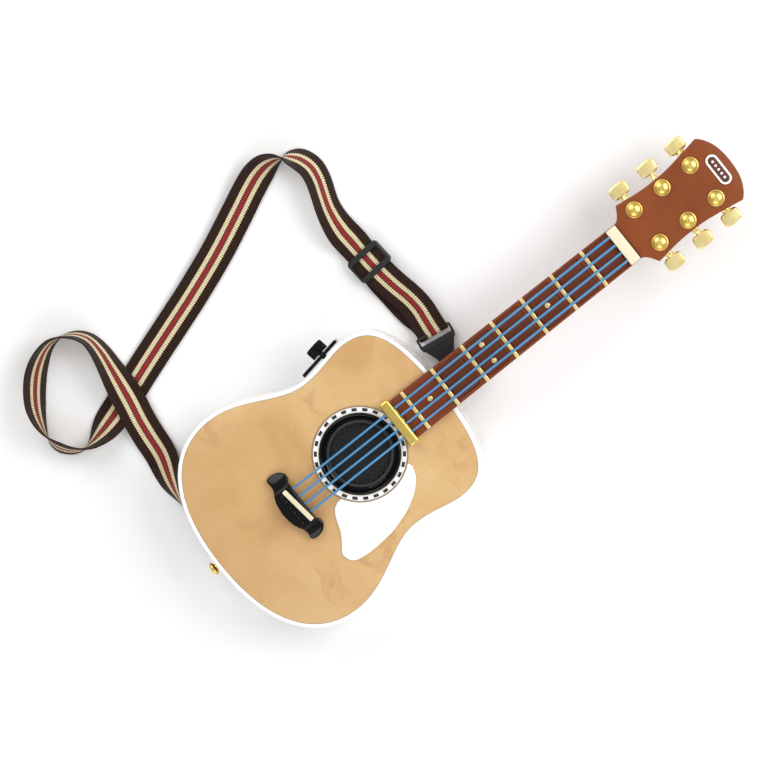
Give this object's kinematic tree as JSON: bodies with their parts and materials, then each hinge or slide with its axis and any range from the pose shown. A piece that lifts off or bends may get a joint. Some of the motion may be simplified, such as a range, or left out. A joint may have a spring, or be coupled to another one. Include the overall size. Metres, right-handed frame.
{
  "type": "toy guitar",
  "caption": "Toy electronic guitar shaped like an acoustic one, with push keys on the neck, turning tuners, a volume knob and a striped webbing strap.",
  "frame": {"origin": "on the surface the guitar lies on, below the middle of its length, strap not counted", "axes": "+Y along the neck towards the head, +Z out of the face, +X to the pickguard side"},
  "size_m": [0.4597, 0.7815, 0.085],
  "materials": {
    "shell_white": "satin moulded",
    "trim_white": "gloss",
    "face_print": "wood-look print under a clear satin coat",
    "neck_brown": "satin",
    "key_brown": "satin",
    "gloss_black": "gloss",
    "grille_black": "mesh",
    "cream": "satin",
    "gold": "vacuum plated gold on moulded plastic",
    "string_blue": "smooth nylon",
    "circuit_board": "solder mask",
    "steel": "plated",
    "battery_wrap": "printed wrap",
    "speaker_paper": "paper cone",
    "webbing": "striped woven webbing",
    "strap_plastic": "fine grain"
  },
  "bodies": {
    "guitar": {"back_shell": "shell_white", "battery_block": "battery_wrap", "battery_door": "shell_white", "battery_door_screw": "steel", "bridge": "gloss_black", "control_plate": "gloss_black", "end_bar": "gold", "end_pin": "gold", "face_panel": "face_print", "fingerboard": "neck_brown", "fret_1": "gold", "fret_2": "gold", "fret_3": "gold", "fret_4": "gold", "fret_5": "gold", "fret_6": "gold", "fret_7": "gold", "front_shell": "shell_white", "head_badge": "trim_white", "headstock_cover": "neck_brown", "heel_button": "gold", "key_board": "circuit_board", "main_board": "circuit_board", "neck_back": "neck_brown", "nut": "cream", "pickguard": "trim_white", "rosette_ring": "trim_white", "saddle": "cream", "speaker_bezel": "gloss_black", "speaker_driver": "speaker_paper", "speaker_grille": "grille_black", "strap_return": "webbing", "strap_slider": "strap_plastic", "strap_tab_lower": "strap_plastic", "strap_tab_upper": "strap_plastic", "strap_webbing": "webbing", "string_1": "string_blue", "string_2": "string_blue", "string_3": "string_blue", "string_4": "string_blue", "tuner_post_1": "gold", "tuner_post_2": "gold", "tuner_post_3": "gold", "tuner_post_4": "gold", "tuner_post_5": "gold", "tuner_post_6": "gold", "volume_encoder": "steel"},
    "volume_knob": {"volume_knob": "gloss_black"},
    "fret_key_1": {"fret_key_1": "key_brown"},
    "fret_key_2": {"fret_key_2": "key_brown"},
    "fret_key_3": {"fret_key_3": "key_brown"},
    "fret_key_4": {"fret_key_4": "key_brown"},
    "fret_key_5": {"fret_key_5": "key_brown"},
    "fret_key_6": {"fret_key_6": "key_brown"},
    "tuner_key_1": {"tuner_key_1": "gold"},
    "tuner_key_2": {"tuner_key_2": "gold"},
    "tuner_key_3": {"tuner_key_3": "gold"},
    "tuner_key_4": {"tuner_key_4": "gold"},
    "tuner_key_5": {"tuner_key_5": "gold"},
    "tuner_key_6": {"tuner_key_6": "gold"}
  },
  "joints": [
    {"name": "volume_turn", "type": "hinge", "parent": "guitar", "child": "volume_knob", "pos_m": [-0.1114, -0.11521, 0.05], "axis": [-0.9863, -0.165, 0], "range_deg": [-135, 135]},
    {"name": "fret_key_1_press", "type": "slide", "parent": "guitar", "child": "fret_key_1", "axis": [0, 0, -1], "range_m": [0, 0.0015], "stiffness_N_per_m": 900, "springref_m": -0.0006},
    {"name": "fret_key_2_press", "type": "slide", "parent": "guitar", "child": "fret_key_2", "axis": [0, 0, -1], "range_m": [0, 0.0015], "stiffness_N_per_m": 900, "springref_m": -0.0006},
    {"name": "fret_key_3_press", "type": "slide", "parent": "guitar", "child": "fret_key_3", "axis": [0, 0, -1], "range_m": [0, 0.0015], "stiffness_N_per_m": 900, "springref_m": -0.0006},
    {"name": "fret_key_4_press", "type": "slide", "parent": "guitar", "child": "fret_key_4", "axis": [0, 0, -1], "range_m": [0, 0.0015], "stiffness_N_per_m": 900, "springref_m": -0.0006},
    {"name": "fret_key_5_press", "type": "slide", "parent": "guitar", "child": "fret_key_5", "axis": [0, 0, -1], "range_m": [0, 0.0015], "stiffness_N_per_m": 900, "springref_m": -0.0006},
    {"name": "fret_key_6_press", "type": "slide", "parent": "guitar", "child": "fret_key_6", "axis": [0, 0, -1], "range_m": [0, 0.0015], "stiffness_N_per_m": 900, "springref_m": -0.0006},
    {"name": "tuner_key_1_turn", "type": "hinge", "parent": "guitar", "child": "tuner_key_1", "pos_m": [-0.05, 0.2487, 0.0642], "axis": [-1, 0, 0], "continuous": true},
    {"name": "tuner_key_2_turn", "type": "hinge", "parent": "guitar", "child": "tuner_key_2", "pos_m": [-0.05, 0.287, 0.0642], "axis": [-1, 0, 0], "continuous": true},
    {"name": "tuner_key_3_turn", "type": "hinge", "parent": "guitar", "child": "tuner_key_3", "pos_m": [-0.05, 0.3253, 0.0642], "axis": [-1, 0, 0], "continuous": true},
    {"name": "tuner_key_4_turn", "type": "hinge", "parent": "guitar", "child": "tuner_key_4", "pos_m": [0.05, 0.2487, 0.0642], "axis": [1, 0, 0], "continuous": true},
    {"name": "tuner_key_5_turn", "type": "hinge", "parent": "guitar", "child": "tuner_key_5", "pos_m": [0.05, 0.287, 0.0642], "axis": [1, 0, 0], "continuous": true},
    {"name": "tuner_key_6_turn", "type": "hinge", "parent": "guitar", "child": "tuner_key_6", "pos_m": [0.05, 0.3253, 0.0642], "axis": [1, 0, 0], "continuous": true}
  ]
}
